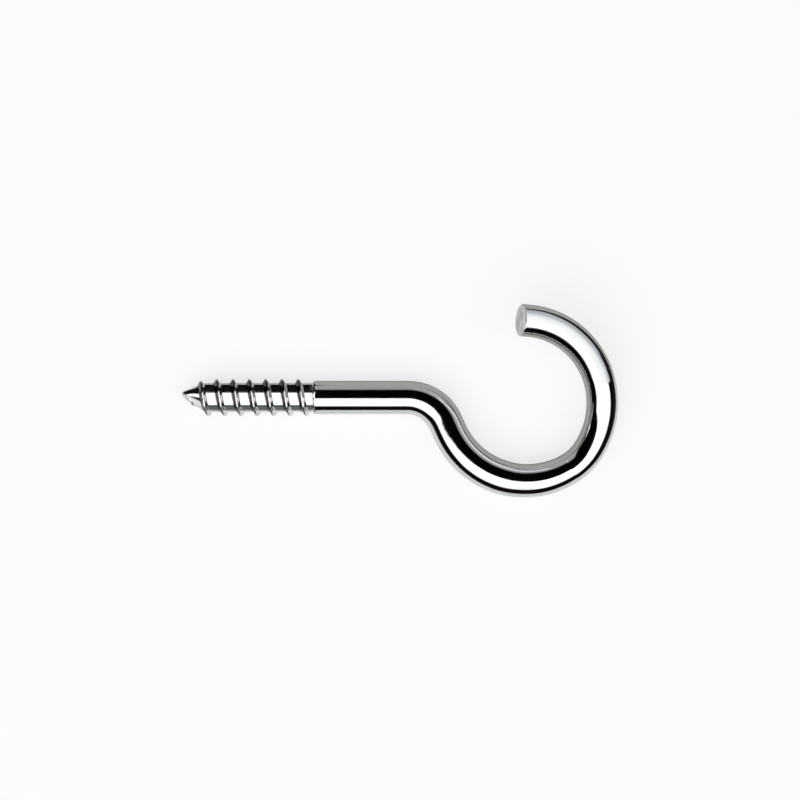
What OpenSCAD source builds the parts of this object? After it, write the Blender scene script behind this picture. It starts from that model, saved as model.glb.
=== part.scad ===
// Screw hook bent from one length of round wire, lying flat. The screw axis is X, with the
// point towards -X and the bow towards +X. The hook bends in the XY plane as far as its heel
// and rises out of it from there to the open end. Z is up.
// The origin is on the screw axis at the shoulder where the thread ends.

/* [Wire] */
// Diameter of the plain wire
wire_d = 4.6; // [3:0.1:8]
// Straight wire from the shoulder to the neck bend
shank_len = 13; // [6:0.5:60]
// Chamfer where the plain wire starts at the shoulder
shoulder_chamfer = 0.2; // [0.05:0.05:0.5]
// Deburred edge round the cut end of the wire
cut_chamfer = 0.1; // [0.05:0.05:0.4]

/* [Neck] */
// Radius of the neck bend along the middle of the wire
neck_r = 5.8; // [4.5:0.1:12]
// Angle that the neck turns away from the screw axis
neck_angle = 65.5; // [40:0.5:80]
// Straight wire between the neck and the bow
slope_len = 1.5; // [0.5:0.1:8]

/* [Bow] */
// Radius of the near half of the bow, along the middle of the wire
near_r = 11.5; // [8:0.1:20]
// Angle that the near half of the bow turns through
near_angle = 98; // [70:0.5:110]
// Radius of the tighter stretch at the heel of the bow
heel_r = 7.6; // [4.5:0.1:15]
// Angle that the heel turns through
heel_angle = 27; // [5:0.5:50]
// Angle by which the bow is twisted up at its heel, out of the plane of the shank
heel_tilt = 14; // [0:0.5:30]
// Radius of the far half of the bow
far_r = 12.1; // [8:0.1:20]
// Angle that the far half turns through before its end stretch
far_angle = 54.5; // [30:0.5:100]
// Angle that the end stretch turns through, on the same radius
end_angle = 60; // [20:1:80]
// Angle by which the end stretch is twisted up further
end_tilt = 8; // [0:0.5:20]
// Straight wire left at the cut end
tail_len = 1.1; // [0.4:0.1:6]

/* [Thread] */
// Length from the tip of the point to the shoulder
thread_len = 18.1; // [10:0.1:60]
// Depth of the thread's root under the skin of the plain wire
root_depth = 0.3; // [0.1:0.05:0.6]
// Height of the ridge over the root
ridge_h = 0.55; // [0.3:0.05:1]
// Distance from one turn to the next
pitch = 2.25; // [1.5:0.05:4]
// Width of the ridge where it meets the root
ridge_base = 0.9; // [0.5:0.05:1.3]
// Width of the flat on top of the ridge
ridge_crest = 0.2; // [0.05:0.05:0.4]
// Plain root left between the end of the ridge and the shoulder
runout = 0.45; // [0.3:0.05:3]
// Angle about the screw axis, from +Y towards +Z, at which the ridge ends
runout_angle = 251; // [0:1:360]

/* [Point] */
// Length of the tapered point
point_len = 3.2; // [2:0.1:8]
// Diameter of the blunt tip
tip_d = 0.6; // [0.2:0.1:1.5]
// Distance that the tip lies off the screw axis
tip_shift = 0.45; // [0:0.05:0.8]

/* [Hidden] */

// Steps along the ridge in each turn
turn_steps = 48;
// Turns in which the ridge dies out before the shoulder, and in which it grows from the point
fade_turns = 0.2;
growth_turns = 1;
// Root that is let into the plain wire, so that the two are one solid
root_in_wire = pitch;
// Every second stretch of the wire is let into its neighbours by this length, and is this
// much smaller in radius, so that the stretches cross cleanly and are one solid
joint_lap = 0.2;
joint_step = 0.01;

wire_r = wire_d / 2;
root_r = wire_r - root_depth;
tip_r = tip_d / 2;
tip_x = -thread_len;

// Bends and straight stretches of the wire from the shoulder to the cut end. A bend is
// ["bend", radius, angle to the left, twist about the wire before it]. A straight stretch
// is ["straight", length, chamfer at its start, chamfer at its end].
WIRE_PATH = [
  ["straight", shank_len, shoulder_chamfer, 0],
  ["bend", neck_r, -neck_angle, 0],
  ["straight", slope_len, 0, 0],
  ["bend", near_r, near_angle, 0],
  ["bend", heel_r, heel_angle, heel_tilt],
  ["bend", far_r, far_angle, 0],
  ["bend", far_r, end_angle, end_tilt],
  ["straight", tail_len, 0, cut_chamfer]
];

// Rows across one turn of the thread: distance from the middle of the ridge, and share of
// the ridge's height. The last row is the middle of the plain root between two turns.
RIDGE_ROWS = [
  [-ridge_base / 2, 0],
  [-ridge_crest / 2, 1],
  [ridge_crest / 2, 1],
  [ridge_base / 2, 0],
  [pitch / 2, 0]
];
rows = len(RIDGE_ROWS);

// Whole steps of the ridge that fit between the tip and the shoulder
steps = floor((thread_len - runout - ridge_base / 2) * turn_steps / pitch);
// Number of points on the turns, and with the last turn's far edge
turn_points = (steps + 1) * rows;
edge_points = turn_points + turn_steps;

function ridge_x(k) = -runout - pitch * (steps - k) / turn_steps;
function ridge_angle(k) = runout_angle - 360 * (steps - k) / turn_steps;
function ridge_share(k) = min(1, k / (growth_turns * turn_steps), (steps - k) / (fade_turns * turn_steps));

// Share of the way up the point, from 0 at the tip to 1 where the full root starts
function up_point(x) = min(1, (x - tip_x) / point_len);
function root_at(x) = tip_r + (root_r - tip_r) * up_point(x);
function shift_at(x) = tip_shift * (1 - up_point(x));

// A point of the threaded skin, at x along the axis and at an angle about it
function skin(x, angle, height) = let (r = root_at(x) + height) [
  x,
  shift_at(x) + r * cos(angle),
  r * sin(angle)
];
function ridge_point(k, row) = skin(
  ridge_x(k) + RIDGE_ROWS[row][0],
  ridge_angle(k),
  RIDGE_ROWS[row][1] * ridge_h * max(0, ridge_share(k))
);

// Number of the point at step k of the ridge in a row. A turn's far edge is the near edge
// of the turn after it.
function id(k, row) =
  row == rows ? id(k + turn_steps, 0) :
  k <= steps ? k * rows + row :
  turn_points + k - steps - 1;
function tip_id(k) = edge_points + k % turn_steps;
function end_id(k) = edge_points + turn_steps + k % turn_steps;

module threaded_end() {
  turns = [for (k = [0:steps], row = [0:rows - 1]) ridge_point(k, row)];
  last_edge = [for (k = [steps + 1:steps + turn_steps]) ridge_point(k, 0)];
  tip_ring = [for (k = [0:turn_steps - 1]) skin(tip_x, ridge_angle(k), 0)];
  end_ring = [for (k = [0:turn_steps - 1]) skin(root_in_wire, ridge_angle(k), 0)];

  // The turns themselves
  turn_faces = [
    for (k = [0:steps - 1], row = [0:rows - 1])
      for (face = [
        [id(k, row), id(k, row + 1), id(k + 1, row + 1)],
        [id(k, row), id(k + 1, row + 1), id(k + 1, row)]
      ]) face
  ];

  // From the blunt tip to the first turn, which starts as a step in the helix
  tip_faces = [
    for (k = [0:turn_steps - 2])
      for (face = [
        [tip_id(k), id(k, 0), id(k + 1, 0)],
        [tip_id(k), id(k + 1, 0), tip_id(k + 1)]
      ]) face
  ];
  first_line = [tip_id(0), for (row = [0:rows]) id(0, row)];
  first_near = id(turn_steps - 1, 0);
  first_faces = [
    [tip_id(turn_steps - 1), first_near, tip_id(0)],
    for (i = [0:rows]) [first_near, first_line[i], first_line[i + 1]]
  ];

  // From the last turn to the ring inside the plain wire
  start = steps - turn_steps;
  end_faces = [
    for (k = [start + 1:steps - 1])
      for (face = [
        [id(k, rows), end_id(k), end_id(k + 1)],
        [id(k, rows), end_id(k + 1), id(k + 1, rows)]
      ]) face
  ];
  last_line = [for (row = [0:rows]) id(steps, row), end_id(steps)];
  last_near = id(start + 1, rows);
  last_faces = [
    for (i = [0:rows]) [last_near, last_line[i], last_line[i + 1]],
    [last_near, end_id(steps), end_id(start + 1)]
  ];

  polyhedron(
    points = concat(turns, last_edge, tip_ring, end_ring),
    faces = concat(
      turn_faces,
      tip_faces,
      first_faces,
      end_faces,
      last_faces,
      [[for (k = [0:turn_steps - 1]) tip_id(k)]],
      [[for (k = [turn_steps - 1:-1:0]) end_id(k)]]
    )
  );
}

// A straight stretch of wire along X, chamfered at its start and at its end. It is let into
// its neighbours by a lap, and set in from their skin.
module straight(length, start_chamfer, end_chamfer, lap, set_in) {
  r = wire_r - set_in;
  rotate([0, 90, 0])
    rotate_extrude()
      polygon([
        [0, -lap],
        [r - start_chamfer, -lap],
        [r, start_chamfer - lap],
        [r, length - end_chamfer],
        [r - end_chamfer, length],
        [0, length]
      ]);
}

// A bend that starts along X and turns by an angle, to the left where the angle is positive
module bend(radius, angle, lap, set_in) {
  side = sign(angle);
  lap_angle = lap * 180 / (PI * radius);
  translate([0, side * radius, 0])
    rotate([0, 0, -side * 90 + min(0, angle) - lap_angle])
      rotate_extrude(angle = abs(angle) + 2 * lap_angle)
        translate([radius, 0])
          circle(r = wire_r - set_in);
}

// The wire from one step of its path to the cut end. Every second step is let in.
module wire(i = 0) {
  if (i < len(WIRE_PATH)) {
    step = WIRE_PATH[i];
    lap = i % 2 * joint_lap;
    set_in = i % 2 * joint_step;
    if (step[0] == "straight") {
      straight(step[1], step[2], step[3], lap, set_in);
      translate([step[1], 0, 0])
        wire(i + 1);
    } else {
      side = sign(step[2]);
      rotate([step[3], 0, 0]) {
        bend(step[1], step[2], lap, set_in);
        translate([0, side * step[1], 0])
          rotate([0, 0, step[2]])
            translate([0, -side * step[1], 0])
              wire(i + 1);
      }
    }
  }
}

module screw_hook() {
  color([0.8, 0.81, 0.82])
    union() {
      threaded_end();
      wire();
    }
}

$fn = 96;
screw_hook();
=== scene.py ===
"""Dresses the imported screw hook: a bent wire with a rolled thread, bright plating and a studio."""

import math

import bpy
from mathutils import Matrix, Vector


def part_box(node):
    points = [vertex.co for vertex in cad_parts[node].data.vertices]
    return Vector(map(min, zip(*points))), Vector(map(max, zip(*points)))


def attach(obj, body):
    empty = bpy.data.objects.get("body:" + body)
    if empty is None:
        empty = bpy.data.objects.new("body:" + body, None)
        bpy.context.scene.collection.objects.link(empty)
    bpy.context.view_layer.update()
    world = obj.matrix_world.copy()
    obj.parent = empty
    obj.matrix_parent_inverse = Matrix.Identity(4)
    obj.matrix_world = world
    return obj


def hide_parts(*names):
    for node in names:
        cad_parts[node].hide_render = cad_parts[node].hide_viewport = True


bl_info = {
    "name": "Screw Hook",
    "version": (1, 0, 0),
    "blender": (4, 5, 0),
    "location": "3D View > Sidebar > Screw Hook",
    "description": "Bends a plated wire into a screw hook and sets it in a plain studio",
    "category": "Object",
}

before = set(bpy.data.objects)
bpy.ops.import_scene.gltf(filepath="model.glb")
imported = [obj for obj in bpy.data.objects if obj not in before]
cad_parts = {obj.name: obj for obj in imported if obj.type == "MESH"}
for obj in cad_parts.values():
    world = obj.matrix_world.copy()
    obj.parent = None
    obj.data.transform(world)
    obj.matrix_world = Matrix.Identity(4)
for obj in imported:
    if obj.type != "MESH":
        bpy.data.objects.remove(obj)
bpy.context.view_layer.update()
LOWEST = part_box("screw_hook")[0]

MM = 0.001

# Points round the wire, rows across one turn of the thread, and distance between rings
RING_POINTS = 96
THREAD_ROWS = 33
RING_SPACING = 0.12 * MM

# Length over which the wire takes on its bent width, and the tiny step that closes an end
WIDTH_EASE = 5 * MM
HAIR = 0.002 * MM

# Power by which the rows crowd on the ridge, and power by which the point bulges
ROW_CROWDING = 1.6
POINT_CURVE = 0.93

# Turns in which the ridge dies out, and distances from the tip between which it grows
FADE_TURNS = 0.22
GROWTH = (0.3 * MM, 2.9 * MM)

# Distance within which points are welded, angle from which an edge is sharp, and the
# number of faces below which the hook can't have come out whole
WELD_DISTANCE = 1e-6
SHARP_ANGLE = math.radians(50)
FEWEST_FACES = 1000

# Seen from above: the middle of the bow for the cards and for the floor's tones, the middle
# of the camera's view, and half the width of the floor in metres
BOW_MIDDLE = (29.5 * MM, 0.0)
FLOOR_BOW_MIDDLE = (29 * MM, -1 * MM)
VIEW_MIDDLE = (12 * MM, -0.34 * MM)
FLOOR_HALF = 2.5


# Sizes and finishes that a user would change


class WireSizes(bpy.types.PropertyGroup):
    """Sizes of the plain wire and of its bends, as in the part's source."""

    diameter: bpy.props.FloatProperty(
        name="Diameter",
        description="Diameter of the plain wire",
        default=4.6 * MM,
        min=1 * MM,
        unit="LENGTH",
    )
    shank: bpy.props.FloatProperty(
        name="Shank",
        description="Straight wire from the shoulder to the neck",
        default=13 * MM,
        unit="LENGTH",
    )
    neck_radius: bpy.props.FloatProperty(
        name="Neck radius",
        description="Radius of the neck bend along the middle of the wire",
        default=5.8 * MM,
        unit="LENGTH",
    )
    neck_angle: bpy.props.FloatProperty(
        name="Neck angle",
        description="Angle that the neck turns away from the screw",
        default=math.radians(65.5),
        subtype="ANGLE",
    )
    slope: bpy.props.FloatProperty(
        name="Slope",
        description="Straight wire between the neck and the bow",
        default=1.5 * MM,
        unit="LENGTH",
    )
    near_radius: bpy.props.FloatProperty(
        name="Near radius",
        description="Radius of the near half of the bow",
        default=11.5 * MM,
        unit="LENGTH",
    )
    near_angle: bpy.props.FloatProperty(
        name="Near angle",
        description="Angle that the near half of the bow turns through",
        default=math.radians(98),
        subtype="ANGLE",
    )
    heel_radius: bpy.props.FloatProperty(
        name="Heel radius",
        description="Radius of the tighter stretch at the heel of the bow",
        default=7.6 * MM,
        unit="LENGTH",
    )
    heel_angle: bpy.props.FloatProperty(
        name="Heel angle",
        description="Angle that the heel turns through",
        default=math.radians(27),
        subtype="ANGLE",
    )
    heel_tilt: bpy.props.FloatProperty(
        name="Heel tilt",
        description="Twist that lifts the bow out of the plane of the shank at its heel",
        default=math.radians(14),
        subtype="ANGLE",
    )
    far_radius: bpy.props.FloatProperty(
        name="Far radius",
        description="Radius of the far half of the bow",
        default=12.1 * MM,
        unit="LENGTH",
    )
    far_angle: bpy.props.FloatProperty(
        name="Far angle",
        description="Angle that the far half turns through before its end stretch",
        default=math.radians(54.5),
        subtype="ANGLE",
    )
    end_angle: bpy.props.FloatProperty(
        name="End angle",
        description="Angle that the end stretch turns through",
        default=math.radians(60),
        subtype="ANGLE",
    )
    end_tilt: bpy.props.FloatProperty(
        name="End tilt",
        description="Twist that lifts the end stretch further",
        default=math.radians(8),
        subtype="ANGLE",
    )
    tail: bpy.props.FloatProperty(
        name="Tail",
        description="Straight wire left at the cut end",
        default=1.1 * MM,
        unit="LENGTH",
    )
    shoulder_chamfer: bpy.props.FloatProperty(
        name="Shoulder chamfer",
        description="Chamfer where the plain wire starts",
        default=0.2 * MM,
        unit="LENGTH",
    )
    rim: bpy.props.FloatProperty(
        name="Rim",
        description="Rounding of the edge round the cut end",
        default=0.14 * MM,
        unit="LENGTH",
    )


class ThreadSizes(bpy.types.PropertyGroup):
    """Sizes of the rolled thread and its point, as in the part's source."""

    length: bpy.props.FloatProperty(
        name="Length",
        description="Length from the tip of the point to the shoulder",
        default=18.1 * MM,
        unit="LENGTH",
    )
    root_diameter: bpy.props.FloatProperty(
        name="Root diameter",
        description="Diameter between the ridges",
        default=4.0 * MM,
        unit="LENGTH",
    )
    ridge_height: bpy.props.FloatProperty(
        name="Ridge height",
        description="Height of the ridge over the root",
        default=0.545 * MM,
        unit="LENGTH",
    )
    ridge_base: bpy.props.FloatProperty(
        name="Ridge base",
        description="Width of the ridge at the root",
        default=0.9 * MM,
        unit="LENGTH",
    )
    ridge_crest: bpy.props.FloatProperty(
        name="Ridge crest",
        description="Width of the rounded top of the ridge",
        default=0.16 * MM,
        unit="LENGTH",
    )
    pitch: bpy.props.FloatProperty(
        name="Pitch",
        description="Distance from one turn to the next",
        default=2.25 * MM,
        unit="LENGTH",
    )
    runout: bpy.props.FloatProperty(
        name="Runout",
        description="Plain root between the end of the ridge and the shoulder",
        default=0.45 * MM,
        unit="LENGTH",
    )
    runout_angle: bpy.props.FloatProperty(
        name="Runout angle",
        description="Angle about the screw at which the ridge ends",
        default=math.radians(251.25),
        subtype="ANGLE",
    )
    point: bpy.props.FloatProperty(
        name="Point",
        description="Length of the tapered point",
        default=3.2 * MM,
        unit="LENGTH",
    )
    tip_diameter: bpy.props.FloatProperty(
        name="Tip diameter",
        description="Diameter of the blunt tip",
        default=0.6 * MM,
        unit="LENGTH",
    )
    tip_shift: bpy.props.FloatProperty(
        name="Tip shift",
        description="Distance that the tip lies off the screw's axis",
        default=0.45 * MM,
        unit="LENGTH",
    )


class PlatingFinish(bpy.types.PropertyGroup):
    """Colours and gloss of the plated wire and of its cut face."""

    plating: bpy.props.FloatVectorProperty(
        name="Plating",
        description="Colour of the bright plating",
        default=(0.84, 0.85, 0.86),
        size=3,
        min=0,
        max=1,
        subtype="COLOR",
    )
    polish: bpy.props.FloatProperty(
        name="Polish",
        description="Roughness of the polished plating",
        default=0.045,
        min=0,
        max=1,
        subtype="FACTOR",
    )
    cut_face: bpy.props.FloatVectorProperty(
        name="Cut face",
        description="Colour of the matt face left by the cutter",
        default=(0.66, 0.67, 0.66),
        size=3,
        min=0,
        max=1,
        subtype="COLOR",
    )


class StudioSettings(bpy.types.PropertyGroup):
    """The camera and the light of the plain studio."""

    camera_height: bpy.props.FloatProperty(
        name="Camera height",
        description="Height of the camera over the axis of the screw",
        default=275.9 * MM,
        unit="LENGTH",
    )
    lens: bpy.props.FloatProperty(
        name="Lens",
        description="Focal length on a 36 mm sensor",
        default=90,
        unit="CAMERA",
    )
    window: bpy.props.FloatProperty(
        name="Window",
        description="Brightness of the large soft light in front",
        default=1.5,
        min=0,
    )
    wall: bpy.props.FloatProperty(
        name="Wall",
        description="Brightness of the grey wall behind",
        default=0.4,
        min=0,
    )
    fill: bpy.props.FloatProperty(
        name="Fill",
        description="Power of the soft lamp that lifts the floor",
        default=4.4,
        min=0,
        unit="POWER",
    )


# Small helpers for node trees


def feed(tree, socket, value):
    """Links an input to another node's socket, or sets it to a plain value."""
    if isinstance(value, bpy.types.NodeSocket):
        tree.links.new(value, socket)
    else:
        socket.default_value = value


def math_node(tree, operation, first, second=None, third=None, clamp=False):
    """Adds a Math node fed by sockets or plain numbers and gives its output."""
    node = tree.nodes.new("ShaderNodeMath")
    node.operation = operation
    node.use_clamp = clamp
    for socket, value in zip(node.inputs, (first, second, third)):
        if value is not None:
            feed(tree, socket, value)
    return node.outputs[0]


def vector_math(tree, operation, first, second=None, output=0):
    """Adds a Vector Math node and gives one of its outputs."""
    node = tree.nodes.new("ShaderNodeVectorMath")
    node.operation = operation
    for socket, value in zip(node.inputs, (first, second)):
        if value is not None:
            feed(tree, socket, value)
    return node.outputs[output]


def scaled(tree, vector, factor):
    """Gives a vector times a number."""
    node = tree.nodes.new("ShaderNodeVectorMath")
    node.operation = "SCALE"
    tree.links.new(vector, node.inputs[0])
    feed(tree, node.inputs["Scale"], factor)
    return node.outputs[0]


def eased(tree, value, start, end, low=0.0, high=1.0):
    """Gives low before start, high after end and an even passage between them."""
    node = tree.nodes.new("ShaderNodeMapRange")
    node.interpolation_type = "SMOOTHSTEP"
    for name, item in (
        ("Value", value),
        ("From Min", start),
        ("From Max", end),
        ("To Min", low),
        ("To Max", high),
    ):
        feed(tree, node.inputs[name], item)
    return node.outputs[0]


def mixed(tree, factor, first, second):
    """Mixes two colours, each of them a socket or plain red, green and blue."""
    node = tree.nodes.new("ShaderNodeMix")
    node.data_type = "RGBA"
    tree.links.new(factor, node.inputs["Factor"])
    for name, colour in (("A", first), ("B", second)):
        is_socket = isinstance(colour, bpy.types.NodeSocket)
        feed(tree, node.inputs[name], colour if is_socket else (*colour, 1))
    return node.outputs["Result"]


def named_attribute(tree, name, kind="FLOAT"):
    """Reads an attribute of the geometry by its name."""
    node = tree.nodes.new("GeometryNodeInputNamedAttribute")
    node.data_type = kind
    node.inputs["Name"].default_value = name
    return node.outputs["Attribute"]


def store(tree, geometry, name, value, kind="FLOAT"):
    """Keeps a value on the points of the geometry under a name."""
    node = tree.nodes.new("GeometryNodeStoreNamedAttribute")
    node.data_type = kind
    node.domain = "POINT"
    node.inputs["Name"].default_value = name
    tree.links.new(geometry, node.inputs["Geometry"])
    tree.links.new(value, node.inputs["Value"])
    return node.outputs["Geometry"]


def new_tree(name, sizes):
    """Starts a Geometry Nodes tree with a geometry input and named sizes."""
    tree = bpy.data.node_groups.new(name, "GeometryNodeTree")
    tree.interface.new_socket("Geometry", in_out="INPUT", socket_type="NodeSocketGeometry")
    for label, kind, value in sizes:
        socket = tree.interface.new_socket(label, in_out="INPUT", socket_type=kind)
        if value is not None:
            socket.default_value = value
    tree.interface.new_socket("Geometry", in_out="OUTPUT", socket_type="NodeSocketGeometry")
    start = tree.nodes.new("NodeGroupInput")
    end = tree.nodes.new("NodeGroupOutput")
    return tree, start.outputs, end.inputs


def arrange(tree):
    """Lays the nodes of a tree out in columns by how far they are from its end."""
    depth = {node: 0 for node in tree.nodes}
    for _ in range(len(tree.nodes)):
        moved = False
        for link in tree.links:
            if depth[link.from_node] < depth[link.to_node] + 1:
                depth[link.from_node] = depth[link.to_node] + 1
                moved = True
        if not moved:
            break
    rows = {}
    for node in tree.nodes:
        column = depth[node]
        rows[column] = rows.get(column, 0) + 1
        node.location = (-220 * column, -180 * rows[column])


# The path of the wire


def smooth(share):
    """Evens out a share between 0 and 1, so that it starts and ends gently."""
    share = max(0.0, min(1.0, share))
    return share * share * (3 - 2 * share)


def bend_width(travel):
    """Share of the wire's width in the plane of the bend, by the direction it travels in.

    The neck is upset a little by its tight bend, and the bow is drawn a little thinner.
    """
    marks = (
        (-65.5, 1.04),
        (-20, 1.04),
        (0, 0.997),
        (45, 0.92),
        (85, 0.93),
        (175, 0.95),
    )
    for (a, low), (b, high) in zip(marks, marks[1:]):
        if travel <= b:
            return low + (high - low) * smooth((travel - a) / (b - a))
    return marks[-1][1]


def wire_rings(wire):
    """Gives the rings of the wire from the shoulder to the cut end.

    A ring is its middle, its side in the plane of the bend, its radius, its width share
    and its distance along the wire.
    """
    radius = wire.diameter / 2
    place = Vector((0, 0, 0))
    ahead = Vector((1, 0, 0))
    left = Vector((0, 1, 0))
    travel = 0.0
    along = 0.0
    path = []
    steps = (
        ("straight", wire.shank, 0, 0),
        ("bend", wire.neck_radius, -wire.neck_angle, 0),
        ("straight", wire.slope, 0, 0),
        ("bend", wire.near_radius, wire.near_angle, 0),
        ("bend", wire.heel_radius, wire.heel_angle, wire.heel_tilt),
        ("bend", wire.far_radius, wire.far_angle, 0),
        ("bend", wire.far_radius, wire.end_angle, wire.end_tilt),
        ("straight", wire.tail, 0, 0),
    )
    for kind, size, angle, twist in steps:
        if kind == "straight":
            count = max(2, round(size / RING_SPACING))
            for i in range(count):
                gone = size * i / count
                path.append((place + ahead * gone, left, travel, along + gone))
            place = place + ahead * size
            along += size
            continue
        left = Matrix.Rotation(twist, 3, ahead) @ left
        side = 1 if angle > 0 else -1
        middle = place + left * (side * size)
        count = max(2, round(abs(angle) * size / RING_SPACING))
        for i in range(count):
            part = abs(angle) * i / count
            out = ahead * math.sin(part) - left * (side * math.cos(part))
            inward = left * math.cos(part) - ahead * (side * math.sin(part))
            turned = travel + math.degrees(side * part)
            path.append((middle + out * size, inward, turned, along + size * part))
        part = abs(angle)
        place = middle + (ahead * math.sin(part) - left * (side * math.cos(part))) * size
        new_ahead = ahead * math.cos(part) + left * (side * math.sin(part))
        left = left * math.cos(part) - ahead * (side * math.sin(part))
        ahead = new_ahead
        travel += math.degrees(angle)
        along += size * part
    path.append((place, left, travel, along))

    # The neck's and bow's width begins only after the straight shank
    rings = []
    for middle, side, turned, gone in path:
        ease = smooth((gone - wire.shank) / WIDTH_EASE)
        share = 1 + (bend_width(turned) - 1) * ease
        rings.append([middle, side, radius, share, gone])

    # The shoulder, by shares of its chamfer along the wire and in from the skin
    chamfer = wire.shoulder_chamfer
    first_left = Vector((0, 1, 0))
    start = [
        [Vector((0, 0, 0)), first_left, None, 1.0, 0.0],
        [Vector((HAIR, 0, 0)), first_left, radius - chamfer, 1.0, 0.0],
    ]
    for share, inset in ((0.5, 0.42), (1.0, 0.08), (1.4, 0.0)):
        gone = share * chamfer
        start.append([Vector((gone, 0, 0)), first_left, radius - inset * chamfer, 1.0, gone])
    rings = start + [ring for ring in rings if ring[4] > 1.6 * chamfer]

    # The rounded rim of the cut face and the middle of that face
    rim = wire.rim
    end_share = rings[-1][3]
    rings = [ring for ring in rings if ring[4] < along - 1.1 * rim]
    rim_steps = 5
    for i in range(rim_steps + 1):
        part = math.pi / 2 * i / rim_steps
        back = rim * (1 - math.sin(part))
        rings.append([
            place - ahead * (back + HAIR),
            left,
            radius - rim * (1 - math.cos(part)),
            end_share,
            along - back,
        ])
    rings.append([place, left, 0.0, end_share, along])
    return rings


def path_object(rings, root_radius):
    """Makes the path of the wire as a line of edges that carries the rings' sizes."""
    mesh = bpy.data.meshes.new("wire_path")
    points = [ring[0] for ring in rings]
    mesh.from_pydata(points, [(i, i + 1) for i in range(len(points) - 1)], [])
    mesh.attributes.new("side", "FLOAT_VECTOR", "POINT")
    for name in ("ring_radius", "width", "along"):
        mesh.attributes.new(name, "FLOAT", "POINT")
    side = mesh.attributes["side"]
    ring_radius = mesh.attributes["ring_radius"]
    width = mesh.attributes["width"]
    along = mesh.attributes["along"]
    for i, ring in enumerate(rings):
        side.data[i].vector = ring[1]
        ring_radius.data[i].value = root_radius if ring[2] is None else ring[2]
        width.data[i].value = ring[3]
        along.data[i].value = ring[4]
    piece = bpy.data.objects.new("bent_wire_hook", mesh)
    bpy.context.scene.collection.objects.link(piece)
    return piece


# Geometry Nodes: the thread and the wire


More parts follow.
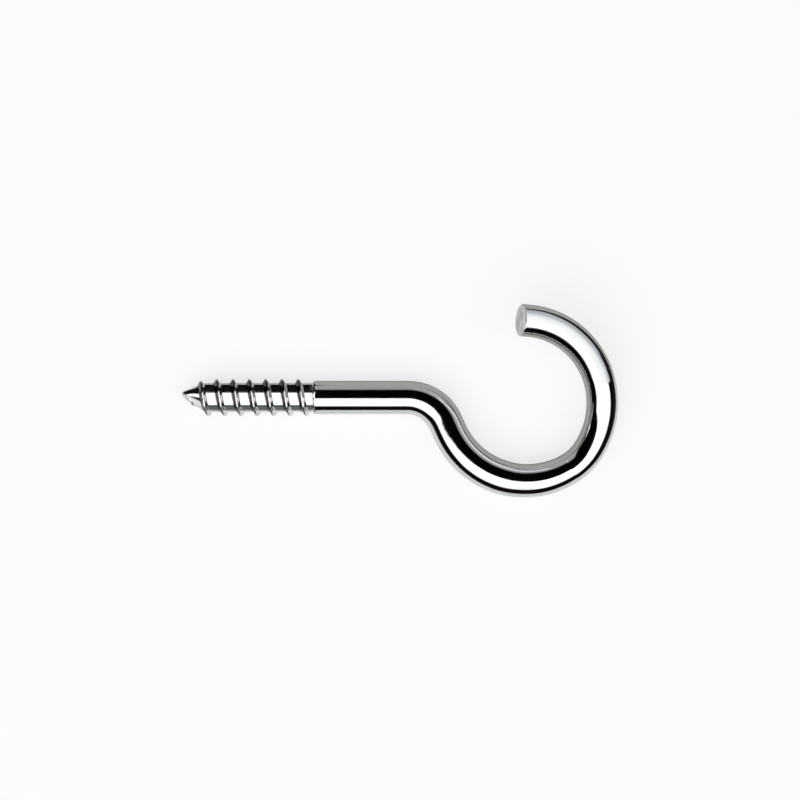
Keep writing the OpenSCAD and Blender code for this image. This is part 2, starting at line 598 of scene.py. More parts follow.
def thread_tree():
    """Rolls the thread: a sheet of points that follows the helix, closed at the tip."""
    tree, given, result = new_tree(
        "Rolled Thread",
        (
            ("Length", "NodeSocketFloat", 0.018),
            ("Root Radius", "NodeSocketFloat", 0.002),
            ("Ridge Height", "NodeSocketFloat", 0.0005),
            ("Ridge Base", "NodeSocketFloat", 0.0009),
            ("Ridge Crest", "NodeSocketFloat", 0.0002),
            ("Pitch", "NodeSocketFloat", 0.00225),
            ("Runout", "NodeSocketFloat", 0.00045),
            ("Runout Angle", "NodeSocketFloat", 4.38),
            ("Point Length", "NodeSocketFloat", 0.0032),
            ("Tip Radius", "NodeSocketFloat", 0.0003),
            ("Tip Shift", "NodeSocketFloat", 0.00045),
            ("Steps per Turn", "NodeSocketInt", RING_POINTS),
            ("Rows", "NodeSocketInt", THREAD_ROWS),
        ),
    )

    # Whole turns, with one to spare past the shoulder and the others past the tip
    turns = math_node(tree, "DIVIDE", given["Length"], given["Pitch"])
    turns = math_node(tree, "ADD", math_node(tree, "CEIL", turns), 3.0)
    count = math_node(tree, "MULTIPLY", turns, given["Steps per Turn"])

    # A grid from -0.5 to 0.5 along the helix and from -1 to 1 across each turn
    grid = tree.nodes.new("GeometryNodeMeshGrid")
    grid.inputs["Size X"].default_value = 1.0
    grid.inputs["Size Y"].default_value = 2.0
    tree.links.new(math_node(tree, "ADD", count, 1.0), grid.inputs["Vertices X"])
    tree.links.new(given["Rows"], grid.inputs["Vertices Y"])
    place = tree.nodes.new("GeometryNodeInputPosition")
    split = tree.nodes.new("ShaderNodeSeparateXYZ")
    tree.links.new(place.outputs[0], split.inputs[0])

    # Turns before the end of the ridge, counted back from the shoulder
    share = math_node(tree, "SUBTRACT", 0.5, split.outputs[0])
    steps_back = math_node(tree, "ROUND", math_node(tree, "MULTIPLY", share, count))
    steps_back = math_node(tree, "SUBTRACT", steps_back, given["Steps per Turn"])
    back = math_node(tree, "DIVIDE", steps_back, given["Steps per Turn"])

    # Rows lie closer together on the ridge than on the plain root
    row = split.outputs[1]
    far = math_node(tree, "POWER", math_node(tree, "ABSOLUTE", row), ROW_CROWDING)
    side = math_node(tree, "MULTIPLY", far, math_node(tree, "SIGN", row))
    off = math_node(tree, "MULTIPLY", side, math_node(tree, "MULTIPLY", given["Pitch"], 0.5))
    ridge_x = math_node(
        tree,
        "SUBTRACT",
        math_node(tree, "MULTIPLY", given["Runout"], -1.0),
        math_node(tree, "MULTIPLY", given["Pitch"], back),
    )
    free_x = math_node(tree, "ADD", ridge_x, off)
    tip_x = math_node(tree, "MULTIPLY", given["Length"], -1.0)
    x = math_node(tree, "MINIMUM", math_node(tree, "MAXIMUM", free_x, tip_x), 0.0)
    angle = math_node(tree, "SUBTRACT", given["Runout Angle"], math_node(tree, "MULTIPLY", back, math.tau))

    # The point: a cone with a rounded, blunt tip
    from_tip = math_node(tree, "ADD", x, given["Length"])
    up = math_node(tree, "DIVIDE", from_tip, given["Point Length"], clamp=True)
    grown = math_node(tree, "SUBTRACT", given["Root Radius"], given["Tip Radius"])
    curved = math_node(tree, "POWER", up, POINT_CURVE)
    cone = math_node(tree, "ADD", given["Tip Radius"], math_node(tree, "MULTIPLY", grown, curved))
    blunt = math_node(tree, "DIVIDE", from_tip, given["Tip Radius"], clamp=True)
    other = math_node(tree, "SUBTRACT", 2.0, blunt)
    blunt = math_node(tree, "SQRT", math_node(tree, "MULTIPLY", blunt, other))
    root = math_node(tree, "MULTIPLY", cone, blunt)
    shift = math_node(tree, "MULTIPLY", given["Tip Shift"], math_node(tree, "SUBTRACT", 1.0, up))

    # The ridge, which grows from the point and dies out at the shoulder
    half_base = math_node(tree, "MULTIPLY", given["Ridge Base"], 0.5)
    half_crest = math_node(tree, "MULTIPLY", given["Ridge Crest"], 0.5)
    shape = eased(tree, math_node(tree, "ABSOLUTE", off), half_crest, half_base, 1.0, 0.0)
    fade = eased(tree, back, 0.0, FADE_TURNS)
    ridge_from_tip = math_node(tree, "ADD", ridge_x, given["Length"])
    growth = eased(tree, ridge_from_tip, *GROWTH)
    strength = math_node(tree, "MULTIPLY", fade, growth)
    ridge = math_node(tree, "MULTIPLY", given["Ridge Height"], shape)
    ridge = math_node(tree, "MULTIPLY", ridge, strength)
    inside = math_node(tree, "LESS_THAN", x, -1e-7)
    ridge = math_node(tree, "MULTIPLY", ridge, math_node(tree, "MULTIPLY", inside, blunt))
    radius = math_node(tree, "ADD", root, ridge)

    y = math_node(tree, "MULTIPLY", radius, math_node(tree, "COSINE", angle))
    z = math_node(tree, "MULTIPLY", radius, math_node(tree, "SINE", angle))
    join = tree.nodes.new("ShaderNodeCombineXYZ")
    tree.links.new(x, join.inputs[0])
    tree.links.new(math_node(tree, "ADD", shift, y), join.inputs[1])
    tree.links.new(z, join.inputs[2])

    # The flank that faces the point, where a dark line is painted into the plating as a painted dark
    # reflection
    foot = eased(
        tree,
        off,
        math_node(tree, "MULTIPLY", half_base, -1.4),
        math_node(tree, "MULTIPLY", half_base, -1.1),
    )
    brow = eased(
        tree,
        off,
        math_node(tree, "MULTIPLY", half_crest, -0.3),
        math_node(tree, "MULTIPLY", half_crest, -1.0),
    )
    slope = math_node(tree, "MULTIPLY", foot, brow)
    slope = math_node(tree, "MULTIPLY", slope, strength)
    unbent = store(tree, grid.outputs["Mesh"], "unbent", join.outputs[0], "FLOAT_VECTOR")
    flank = store(tree, unbent, "flank", slope)
    move = tree.nodes.new("GeometryNodeSetPosition")
    tree.links.new(flank, move.inputs["Geometry"])
    tree.links.new(join.outputs[0], move.inputs["Position"])
    tree.links.new(move.outputs[0], result["Geometry"])
    arrange(tree)
    return tree


def wire_tree():
    """Sweeps a ring along the path, with each ring's radius and its width in the bend."""
    tree, given, result = new_tree(
        "Bent Wire",
        (("Ring Points", "NodeSocketInt", RING_POINTS),),
    )
    curve = tree.nodes.new("GeometryNodeMeshToCurve")
    tree.links.new(given["Geometry"], curve.inputs["Mesh"])
    place = tree.nodes.new("GeometryNodeInputPosition")
    middles = store(tree, curve.outputs[0], "middle", place.outputs[0], "FLOAT_VECTOR")
    ring = tree.nodes.new("GeometryNodeCurvePrimitiveCircle")
    ring.mode = "RADIUS"
    ring.inputs["Radius"].default_value = 1.0
    tree.links.new(given["Ring Points"], ring.inputs["Resolution"])
    sweep = tree.nodes.new("GeometryNodeCurveToMesh")
    tree.links.new(middles, sweep.inputs["Curve"])
    tree.links.new(named_attribute(tree, "ring_radius"), sweep.inputs["Scale"])
    tree.links.new(ring.outputs["Curve"], sweep.inputs["Profile Curve"])

    # Wider or narrower in the plane of the bend
    arm = vector_math(tree, "SUBTRACT", place.outputs[0], named_attribute(tree, "middle", "FLOAT_VECTOR"))
    side = named_attribute(tree, "side", "FLOAT_VECTOR")
    reach = vector_math(tree, "DOT_PRODUCT", arm, side, output="Value")
    extra = math_node(tree, "SUBTRACT", named_attribute(tree, "width"), 1.0)
    offset = scaled(tree, side, math_node(tree, "MULTIPLY", reach, extra))

    # Where each point would lie if the wire were still straight
    length = vector_math(tree, "LENGTH", arm, output="Value")
    rise = math_node(tree, "MULTIPLY", length, length)
    rise = math_node(tree, "SUBTRACT", rise, math_node(tree, "MULTIPLY", reach, reach))
    rise = math_node(tree, "SQRT", math_node(tree, "MAXIMUM", rise, 0.0))
    height = tree.nodes.new("ShaderNodeSeparateXYZ")
    tree.links.new(arm, height.inputs[0])
    rise = math_node(tree, "MULTIPLY", rise, math_node(tree, "SIGN", height.outputs[2]))
    straight = tree.nodes.new("ShaderNodeCombineXYZ")
    tree.links.new(named_attribute(tree, "along"), straight.inputs[0])
    tree.links.new(reach, straight.inputs[1])
    tree.links.new(rise, straight.inputs[2])
    unbent = store(tree, sweep.outputs[0], "unbent", straight.outputs[0], "FLOAT_VECTOR")
    move = tree.nodes.new("GeometryNodeSetPosition")
    tree.links.new(unbent, move.inputs["Geometry"])
    tree.links.new(offset, move.inputs["Offset"])
    tree.links.new(move.outputs[0], result["Geometry"])
    arrange(tree)
    return tree


def hook_tree(thread, wire, plating, cut_face):
    """Joins the thread to the wire as one closed skin and gives it its finishes."""
    sizes = [("Cut Face From", "NodeSocketFloat", 0.0)]
    for item in thread.interface.items_tree:
        if item.in_out == "INPUT" and item.socket_type != "NodeSocketGeometry":
            sizes.append((item.name, item.socket_type, item.default_value))
    tree, given, result = new_tree("Screw Hook", sizes)
    rolled = tree.nodes.new("GeometryNodeGroup")
    rolled.node_tree = thread
    for label, _, _ in sizes[1:]:
        tree.links.new(given[label], rolled.inputs[label])
    bent = tree.nodes.new("GeometryNodeGroup")
    bent.node_tree = wire
    tree.links.new(given["Geometry"], bent.inputs["Geometry"])
    tree.links.new(given["Steps per Turn"], bent.inputs["Ring Points"])
    join = tree.nodes.new("GeometryNodeJoinGeometry")
    tree.links.new(rolled.outputs[0], join.inputs[0])
    tree.links.new(bent.outputs[0], join.inputs[0])
    weld = tree.nodes.new("GeometryNodeMergeByDistance")
    weld.inputs["Distance"].default_value = WELD_DISTANCE
    tree.links.new(join.outputs[0], weld.inputs["Geometry"])

    # Smooth, apart from the rim of the cut face and the foot of the shoulder
    turn = tree.nodes.new("GeometryNodeInputMeshEdgeAngle")
    soft = math_node(tree, "LESS_THAN", turn.outputs["Unsigned Angle"], SHARP_ANGLE)
    shade = tree.nodes.new("GeometryNodeSetShadeSmooth")
    shade.domain = "EDGE"
    tree.links.new(weld.outputs[0], shade.inputs["Geometry"])
    tree.links.new(soft, shade.inputs["Shade Smooth"])
    real = tree.nodes.new("GeometryNodeRealizeInstances")
    tree.links.new(shade.outputs[0], real.inputs[0])
    plate = tree.nodes.new("GeometryNodeSetMaterial")
    plate.inputs["Material"].default_value = plating
    tree.links.new(real.outputs[0], plate.inputs["Geometry"])
    place = named_attribute(tree, "unbent", "FLOAT_VECTOR")
    split = tree.nodes.new("ShaderNodeSeparateXYZ")
    tree.links.new(place, split.inputs[0])
    chosen = math_node(tree, "GREATER_THAN", split.outputs[0], given["Cut Face From"])
    bare = tree.nodes.new("GeometryNodeSetMaterial")
    bare.inputs["Material"].default_value = cut_face
    tree.links.new(plate.outputs[0], bare.inputs["Geometry"])
    tree.links.new(chosen, bare.inputs["Selection"])
    tree.links.new(bare.outputs[0], result["Geometry"])
    arrange(tree)
    return tree


# Finishes


def wear_group():
    """Shader group: fine drawn streaks, soft dents and dull patches on a metal skin."""
    group = bpy.data.node_groups.new("Metal Wear", "ShaderNodeTree")
    group.interface.new_socket("Vector", in_out="INPUT", socket_type="NodeSocketVector")
    for label, value in (("Streak Scale", 2500.0), ("Streak Length", 0.02), ("Patch Scale", 260.0)):
        socket = group.interface.new_socket(label, in_out="INPUT", socket_type="NodeSocketFloat")
        socket.default_value = value
    for label in ("Streaks", "Patches", "Dents"):
        group.interface.new_socket(label, in_out="OUTPUT", socket_type="NodeSocketFloat")
    start = group.nodes.new("NodeGroupInput").outputs
    end = group.nodes.new("NodeGroupOutput").inputs
    drawn = group.nodes.new("ShaderNodeCombineXYZ")
    group.links.new(start["Streak Length"], drawn.inputs[0])
    drawn.inputs[1].default_value = 1.0
    drawn.inputs[2].default_value = 1.0
    stretched = vector_math(group, "MULTIPLY", start["Vector"], drawn.outputs[0])
    streak = group.nodes.new("ShaderNodeTexNoise")
    streak.inputs["Detail"].default_value = 4.0
    streak.inputs["Roughness"].default_value = 0.6
    group.links.new(stretched, streak.inputs["Vector"])
    group.links.new(start["Streak Scale"], streak.inputs["Scale"])
    patch = group.nodes.new("ShaderNodeTexNoise")
    patch.inputs["Detail"].default_value = 3.0
    group.links.new(start["Vector"], patch.inputs["Vector"])
    group.links.new(start["Patch Scale"], patch.inputs["Scale"])
    dent = group.nodes.new("ShaderNodeTexNoise")
    dent.inputs["Detail"].default_value = 1.5
    group.links.new(start["Vector"], dent.inputs["Vector"])
    group.links.new(math_node(group, "MULTIPLY", start["Patch Scale"], 2.6), dent.inputs["Scale"])
    group.links.new(streak.outputs["Fac"], end["Streaks"])
    group.links.new(eased(group, patch.outputs["Fac"], 0.4, 0.65), end["Patches"])
    group.links.new(dent.outputs["Fac"], end["Dents"])
    arrange(group)
    return group


def read_attribute(tree, name):
    """Reads an attribute of the piece in a material."""
    node = tree.nodes.new("ShaderNodeAttribute")
    node.attribute_type = "GEOMETRY"
    node.attribute_name = name
    return node


def plating_material(finish, wear):
    """Bright polished plating with drawn streaks, faint patches, dull roots and a painted dark reflection on
    the thread's flanks that face the point.
    """
    material = bpy.data.materials.new("bright_plating")
    material.use_nodes = True
    tree = material.node_tree
    shader = tree.nodes["Principled BSDF"]
    shader.inputs["Metallic"].default_value = 1.0
    place = read_attribute(tree, "unbent")
    marks = tree.nodes.new("ShaderNodeGroup")
    marks.node_tree = wear
    tree.links.new(place.outputs["Vector"], marks.inputs["Vector"])

    bright = tuple(finish.plating)
    dull = (bright[0] * 0.9, bright[1] * 0.895, bright[2] * 0.88)
    colour = mixed(tree, math_node(tree, "MULTIPLY", marks.outputs["Patches"], 0.6), bright, dull)
    # Painted dark reflection: the plating turns near black on the thread's flanks that face the point
    flank = read_attribute(tree, "flank")
    painted_dark_reflection = (0.035, 0.035, 0.035)
    colour = mixed(tree, math_node(tree, "MULTIPLY", flank.outputs["Fac"], 0.9), colour, painted_dark_reflection)
    tree.links.new(colour, shader.inputs["Base Color"])

    rough = math_node(tree, "MULTIPLY", marks.outputs["Streaks"], 0.05)
    rough = math_node(tree, "ADD", rough, math_node(tree, "MULTIPLY", marks.outputs["Patches"], 0.04))
    rough = math_node(tree, "ADD", rough, finish.polish - 0.02)
    split = tree.nodes.new("ShaderNodeSeparateXYZ")
    tree.links.new(place.outputs["Vector"], split.inputs[0])
    rolled = eased(tree, split.outputs[0], 0.1 * MM, -0.2 * MM)
    rough = math_node(tree, "ADD", rough, math_node(tree, "MULTIPLY", rolled, 0.07))
    tree.links.new(rough, shader.inputs["Roughness"])

    fine = tree.nodes.new("ShaderNodeBump")
    fine.inputs["Strength"].default_value = 0.05
    fine.inputs["Distance"].default_value = 0.02 * MM
    tree.links.new(marks.outputs["Streaks"], fine.inputs["Height"])
    broad = tree.nodes.new("ShaderNodeBump")
    broad.inputs["Strength"].default_value = 0.25
    broad.inputs["Distance"].default_value = 0.03 * MM
    tree.links.new(marks.outputs["Dents"], broad.inputs["Height"])
    tree.links.new(fine.outputs["Normal"], broad.inputs["Normal"])
    tree.links.new(broad.outputs["Normal"], shader.inputs["Normal"])
    arrange(tree)
    return material


def cut_material(finish, wear):
    """The matt, mottled face that the cutter leaves at the end of the wire."""
    material = bpy.data.materials.new("cut_steel")
    material.use_nodes = True
    tree = material.node_tree
    shader = tree.nodes["Principled BSDF"]
    shader.inputs["Metallic"].default_value = 0.0
    coordinates = tree.nodes.new("ShaderNodeTexCoord")
    marks = tree.nodes.new("ShaderNodeGroup")
    marks.node_tree = wear
    marks.inputs["Streak Length"].default_value = 1.0
    marks.inputs["Patch Scale"].default_value = 900.0
    tree.links.new(coordinates.outputs["Object"], marks.inputs["Vector"])
    bare = tuple(finish.cut_face)
    darker = (bare[0] * 0.82, bare[1] * 0.83, bare[2] * 0.81)
    lighter = (bare[0] * 1.2, bare[1] * 1.2, bare[2] * 1.2)
    colour = mixed(tree, marks.outputs["Patches"], darker, lighter)
    tree.links.new(colour, shader.inputs["Base Color"])
    rough = math_node(tree, "ADD", math_node(tree, "MULTIPLY", marks.outputs["Dents"], 0.2), 0.45)
    tree.links.new(rough, shader.inputs["Roughness"])
    bump = tree.nodes.new("ShaderNodeBump")
    bump.inputs["Strength"].default_value = 0.5
    bump.inputs["Distance"].default_value = 0.05 * MM
    tree.links.new(marks.outputs["Streaks"], bump.inputs["Height"])
    tree.links.new(bump.outputs["Normal"], shader.inputs["Normal"])
    arrange(tree)
    return material


def floor_material():
    """A pale floor that the camera sees as white, with the hook's soft shadow on it, and that the metal
    reflects in painted tones: painted shade inside the bow and behind the hook, and painted dark patches far
    off.
    """
    material = bpy.data.materials.new("pale_floor")
    material.use_nodes = True
    tree = material.node_tree
    tree.nodes.clear()
    output = tree.nodes.new("ShaderNodeOutputMaterial")
    path = tree.nodes.new("ShaderNodeLightPath")
    seen = path.outputs["Is Camera Ray"]
    place = tree.nodes.new("ShaderNodeTexCoord")
    split = tree.nodes.new("ShaderNodeSeparateXYZ")
    tree.links.new(place.outputs["Object"], split.inputs[0])
    x, y = split.outputs[0], split.outputs[1]

    # Seen only in the metal's reflections: pale in front of the hook and beside it, greyer inside the bow and
    # behind as painted shade of the hook, and near black far off and beside the thread as painted dark
    # reflections
    under_bow = (*FLOOR_BOW_MIDDLE, LOWEST.z)
    from_bow = vector_math(tree, "DISTANCE", place.outputs["Object"], under_bow, output="Value")
    outside = eased(tree, from_bow, 10 * MM, 12.5 * MM)
    front = eased(tree, y, -0.5 * MM, -3 * MM)
    beside = eased(tree, x, 37 * MM, 41 * MM)
    beside = math_node(tree, "MULTIPLY", beside, eased(tree, y, 6 * MM, 1 * MM))
    by_thread = eased(tree, x, 0.3 * MM, -0.3 * MM)
    pale_share = math_node(tree, "MAXIMUM", math_node(tree, "MAXIMUM", front, beside), by_thread)
    pale_share = math_node(tree, "MULTIPLY", pale_share, outside)
    painted_reflection_tone = mixed(tree, pale_share, (0.46, 0.47, 0.44), (0.8, 0.82, 0.83))
    thread_side = eased(tree, x, 0, -0.6 * MM)
    before_thread = math_node(tree, "MULTIPLY", thread_side, eased(tree, y, -5.5 * MM, -8 * MM))
    behind_thread = math_node(tree, "MULTIPLY", thread_side, eased(tree, y, 5.5 * MM, 6.5 * MM))
    far_front = eased(tree, y, -24 * MM, -36 * MM)
    far_beside = eased(tree, x, 48 * MM, 53 * MM)
    dark_share = math_node(tree, "MAXIMUM", math_node(tree, "MAXIMUM", far_front, far_beside), behind_thread)
    dark_share = math_node(tree, "MAXIMUM", dark_share, math_node(tree, "MULTIPLY", before_thread, 0.75))
    painted_reflection_tone = mixed(tree, dark_share, painted_reflection_tone, (0.02, 0.012, 0.015))
    # Only glossy rays see these painted tones; all other rays see a white floor
    colour = mixed(tree, path.outputs["Is Glossy Ray"], (1, 1, 1), painted_reflection_tone)
    matt = tree.nodes.new("ShaderNodeBsdfDiffuse")
    tree.links.new(colour, matt.inputs["Color"])
    white = tree.nodes.new("ShaderNodeEmission")
    mix = tree.nodes.new("ShaderNodeMixShader")
    tree.links.new(math_node(tree, "MULTIPLY", seen, 0.75), mix.inputs[0])
    tree.links.new(matt.outputs[0], mix.inputs[1])
    tree.links.new(white.outputs[0], mix.inputs[2])
    tree.links.new(mix.outputs[0], output.inputs["Surface"])
    arrange(tree)
    return material


def card(name, near_edge, far_edge, near_colour, far_colour):
    """A small card of emitted colour that only the polished metal sees, a painted reflection, with a colour
    near the bow and one far off.
    """
    mesh = bpy.data.meshes.new(name)
    count = len(near_edge)
    faces = [(i, i + 1, count + i + 1, count + i) for i in range(count - 1)]
    mesh.from_pydata(near_edge + far_edge, [], faces)
    material = bpy.data.materials.new(name)
    material.use_nodes = True
    tree = material.node_tree
    tree.nodes.clear()
    output = tree.nodes.new("ShaderNodeOutputMaterial")
    glow = tree.nodes.new("ShaderNodeEmission")
    place = tree.nodes.new("ShaderNodeTexCoord")
    level_middle = (*BOW_MIDDLE, near_edge[0][2])
    away = vector_math(tree, "DISTANCE", place.outputs["Object"], level_middle, output="Value")
    shade = mixed(tree, eased(tree, away, 11.5 * MM, 18 * MM), near_colour, far_colour)
    tree.links.new(shade, glow.inputs["Color"])
    tree.links.new(glow.outputs[0], output.inputs["Surface"])
    mesh.materials.append(material)
    arrange(tree)
    sheet = bpy.data.objects.new(name, mesh)
    sheet.visible_camera = False
    sheet.visible_diffuse = False
    sheet.visible_shadow = False
    bpy.context.scene.collection.objects.link(sheet)


def over_bow(radius):
    """An edge over the far half of the bow, which rises with the wire towards the open end."""
    x, y = BOW_MIDDLE
    steps = 24
    edge = []
    for i in range(steps + 1):
        angle = math.radians(5 + 95 * i / steps)
        height = (6.2 + 4.0 * min(1.0, i / steps / 0.7)) * MM
        edge.append((x + radius * math.cos(angle), y + radius * math.sin(angle), height))
    return edge


def ramp(tree, factor, stops):
    """Adds a colour ramp with stops of (degrees from the zenith, colour)."""
    node = tree.nodes.new("ShaderNodeValToRGB")
    tree.links.new(factor, node.inputs["Fac"])
    elements = node.color_ramp.elements
    while len(elements) > 1:
        elements.remove(elements[-1])
    for i, (angle, colour) in enumerate(stops):
        element = elements[0] if i == 0 else elements.new(angle / 180)
        element.position = angle / 180
        element.color = (*colour, 1)
    return node.outputs["Color"]


def studio_world(studio):
    """The room that the metal reflects: a window in front, a dark ceiling and a grey wall."""
    world = bpy.data.worlds.new("studio")
    world.use_nodes = True
    bpy.context.scene.world = world
    tree = world.node_tree
    tree.nodes.clear()
    output = tree.nodes.new("ShaderNodeOutputWorld")
    coordinates = tree.nodes.new("ShaderNodeTexCoord")
    toward = vector_math(tree, "NORMALIZE", coordinates.outputs["Generated"])
    split = tree.nodes.new("ShaderNodeSeparateXYZ")
    tree.links.new(toward, split.inputs[0])
    zenith = math_node(tree, "DIVIDE", math_node(tree, "ARCCOSINE", split.outputs[2]), math.pi)
    window = studio.window
    wall = studio.wall

    # To the left the window ends higher up and the dark ceiling reaches lower
    level = vector_math(tree, "NORMALIZE", vector_math(tree, "MULTIPLY", toward, (1, 1, 0)))
    left_angle = math.radians(182)
    left_way = (math.cos(left_angle), math.sin(left_angle), 0)
    left = eased(tree, vector_math(tree, "DOT_PRODUCT", level, left_way, output="Value"), 0.62, 0.86)
    front_angle = math_node(tree, "MULTIPLY", zenith, math_node(tree, "MULTIPLY_ADD", left, 0.08, 1.0))
    back_angle = math_node(tree, "MULTIPLY", zenith, math_node(tree, "MULTIPLY_ADD", left, -0.34, 1.0))
    front = ramp(
        tree,
        front_angle,
        (
            (0, (window, window, window)),
            (58, (window, window, window)),
            (63, (0.3, 0.31, 0.32)),
            (67, (0.002, 0.002, 0.002)),
            (90, (0.002, 0.002, 0.002)),
        ),
    )
    back = ramp(
        tree,
        back_angle,
        (
            (0, (0.001, 0.001, 0.001)),
            (52, (0.001, 0.001, 0.001)),
            (60, (wall * 0.9, wall * 0.92, wall * 0.88)),
            (84, (wall, wall * 1.02, wall * 0.98)),
            (90, (wall * 1.2, wall * 1.22, wall * 1.18)),
            (97, (wall, wall * 1.02, wall * 0.98)),
        ),
    )

    # The window's half of the room, whose edge is turned a little and leans
    turn = math.radians(16)
    edge_normal = (math.sin(turn), -math.cos(turn), -0.1)
    edge = vector_math(tree, "DOT_PRODUCT", toward, edge_normal, output="Value")
    front_share = eased(tree, edge, -0.03, 0.03)
    room = mixed(tree, front_share, back, front)
    path = tree.nodes.new("ShaderNodeLightPath")
    seen = mixed(tree, path.outputs["Is Camera Ray"], room, (1, 1, 1))
    background = tree.nodes.new("ShaderNodeBackground")
    tree.links.new(seen, background.inputs["Color"])
    tree.links.new(background.outputs[0], output.inputs["Surface"])
    arrange(tree)


# Operators


class SCREWHOOK_OT_stage(bpy.types.Operator):
    """Lay the floor, light the studio and place the camera"""

    bl_idname = "screwhook.stage"
    bl_label = "Set the stage"

    def execute(self, context):
        studio = context.scene.screwhook_studio
        floor_mesh = bpy.data.meshes.new("floor")
        half = FLOOR_HALF
        height = LOWEST.z
        corners = [(-half, -half, height), (half, -half, height), (half, half, height), (-half, half, height)]
        floor_mesh.from_pydata(corners, [], [(0, 1, 2, 3)])
        floor_mesh.materials.append(floor_material())
        floor = bpy.data.objects.new("floor", floor_mesh)
        context.scene.collection.objects.link(floor)

        studio_world(studio)
        # Sheets that only the metal's reflections see, as painted reflections: a black one behind the thread,
        # a glowing white one above it, a grey one before it, and pale ones beyond the point and over the open
        # end
        left, right, top = -45 * MM, -0.3 * MM, 9.7 * MM
        back, front, low = 7 * MM, -12 * MM, 5 * MM
        back_foot = [(left, back, height), (right, back, height)]
        back_top = [(left, back, top), (right, back, top)]
        roof = [(left, -1 * MM, top), (right, -1 * MM, top)]
        front_foot = [(left, front, height), (right, front, height)]
        front_top = [(left, front, low), (right, front, low)]
        point_foot = [(-22 * MM, -0.2 * MM, height), (-20 * MM, -11 * MM, height)]
        point_top = [(-22 * MM, -0.2 * MM, 3.5 * MM), (-20 * MM, -11 * MM, 3.5 * MM)]
        inner_edge = over_bow(10.5 * MM)
        outer_edge = over_bow(27 * MM)
        black, grey, pale = (0.004,) * 3, (0.13, 0.15, 0.13), (0.9,) * 3
        bright, brighter, bluish = (1.1,) * 3, (1.3,) * 3, (0.52, 0.56, 0.59)
        for name, near_edge, far_edge, near_colour, far_colour in (
            ("dark_reflection_card_behind_thread", back_foot, back_top, black, black),
            ("white_reflection_card_above_thread", roof, back_top, brighter, brighter),
            ("grey_reflection_card_before_thread", front_foot, front_top, grey, grey),
            ("pale_reflection_card_beyond_point", point_foot, point_top, pale, pale),
            ("pale_reflection_card_over_open_end", inner_edge, outer_edge, bright, bluish),
        ):
            card(name, near_edge, far_edge, near_colour, far_colour)
        lamp_data = bpy.data.lights.new("soft_overhead", "AREA")
        lamp_data.shape = "DISK"
        lamp_data.size = 1.2
        lamp_data.energy = studio.fill
        lamp = bpy.data.objects.new("soft_overhead", lamp_data)
        lamp.location = (-0.4, -0.2, 0.75)
        aim = Vector((VIEW_MIDDLE[0], 0, 0)) - lamp.location
        lamp.rotation_euler = aim.to_track_quat("-Z", "Y").to_euler()
        lamp.visible_glossy = False
        lamp.visible_camera = False
        context.scene.collection.objects.link(lamp)

        camera_data = bpy.data.cameras.new("camera")
        camera_data.lens = studio.lens
        camera_data.sensor_width = 36
        camera_data.clip_start = 0.01
        camera = bpy.data.objects.new("camera", camera_data)
        camera.location = (*VIEW_MIDDLE, studio.camera_height)
        context.scene.collection.objects.link(camera)
        context.scene.camera = camera
        context.scene.view_settings.view_transform = "Standard"
        return {"FINISHED"}


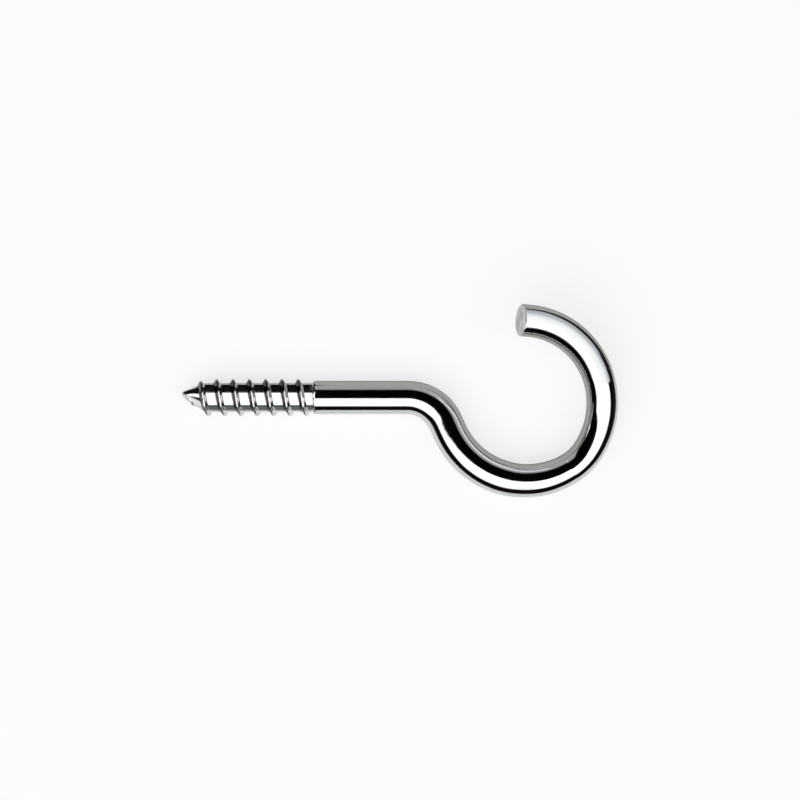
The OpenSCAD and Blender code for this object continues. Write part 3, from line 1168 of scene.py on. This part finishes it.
class SCREWHOOK_OT_hook(bpy.types.Operator):
    """Bend the wire, roll its thread and plate it"""

    bl_idname = "screwhook.hook"
    bl_label = "Make the hook"

    def execute(self, context):
        scene = context.scene
        wire = scene.screwhook_wire
        thread = scene.screwhook_thread
        finish = scene.screwhook_finish
        wear = wear_group()
        plating = plating_material(finish, wear)
        cut_face = cut_material(finish, wear)
        rings = wire_rings(wire)
        along = rings[-1][4]
        path = path_object(rings, thread.root_diameter / 2)
        tree = hook_tree(thread_tree(), wire_tree(), plating, cut_face)
        values = {
            "Cut Face From": along - 0.3 * wire.rim,
            "Length": thread.length,
            "Root Radius": thread.root_diameter / 2,
            "Ridge Height": thread.ridge_height,
            "Ridge Base": thread.ridge_base,
            "Ridge Crest": thread.ridge_crest,
            "Pitch": thread.pitch,
            "Runout": thread.runout,
            "Runout Angle": thread.runout_angle,
            "Point Length": thread.point,
            "Tip Radius": thread.tip_diameter / 2,
            "Tip Shift": thread.tip_shift,
            "Steps per Turn": RING_POINTS,
            "Rows": THREAD_ROWS,
        }
        modifier = path.modifiers.new("Screw Hook", "NODES")
        modifier.node_group = tree
        for item in tree.interface.items_tree:
            if item.in_out == "INPUT" and item.name in values:
                modifier[item.identifier] = values[item.name]
        context.view_layer.update()
        shaped = path.evaluated_get(context.evaluated_depsgraph_get())
        mesh = bpy.data.meshes.new_from_object(shaped)
        if len(mesh.polygons) < FEWEST_FACES:
            raise RuntimeError("the hook came out empty")
        mesh.name = "bent_wire_hook"
        path.modifiers.clear()
        path.data = mesh
        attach(path, "root")
        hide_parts("screw_hook")
        return {"FINISHED"}


class SCREWHOOK_PT_sidebar(bpy.types.Panel):
    """Lists the steps that build the hook"""

    bl_idname = "SCREWHOOK_PT_sidebar"
    bl_label = "Screw Hook"
    bl_space_type = "VIEW_3D"
    bl_region_type = "UI"
    bl_category = "Screw Hook"

    def draw(self, context):
        layout = self.layout
        for group in ("screwhook_wire", "screwhook_thread", "screwhook_finish", "screwhook_studio"):
            settings = getattr(context.scene, group)
            box = layout.box()
            for name in settings.__annotations__:
                box.prop(settings, name)
        layout.operator("screwhook.hook")
        layout.operator("screwhook.stage")


CLASSES = (
    WireSizes,
    ThreadSizes,
    PlatingFinish,
    StudioSettings,
    SCREWHOOK_OT_hook,
    SCREWHOOK_OT_stage,
    SCREWHOOK_PT_sidebar,
)
SETTINGS = (
    ("screwhook_wire", WireSizes),
    ("screwhook_thread", ThreadSizes),
    ("screwhook_finish", PlatingFinish),
    ("screwhook_studio", StudioSettings),
)


def register():
    for item in CLASSES:
        bpy.utils.register_class(item)
    for name, group in SETTINGS:
        setattr(bpy.types.Scene, name, bpy.props.PointerProperty(type=group))


def unregister():
    for name, _ in SETTINGS:
        delattr(bpy.types.Scene, name)
    for item in reversed(CLASSES):
        bpy.utils.unregister_class(item)


def main():
    register()
    bpy.ops.screwhook.hook()
    bpy.ops.screwhook.stage()


if __name__ == "__main__":
    main()
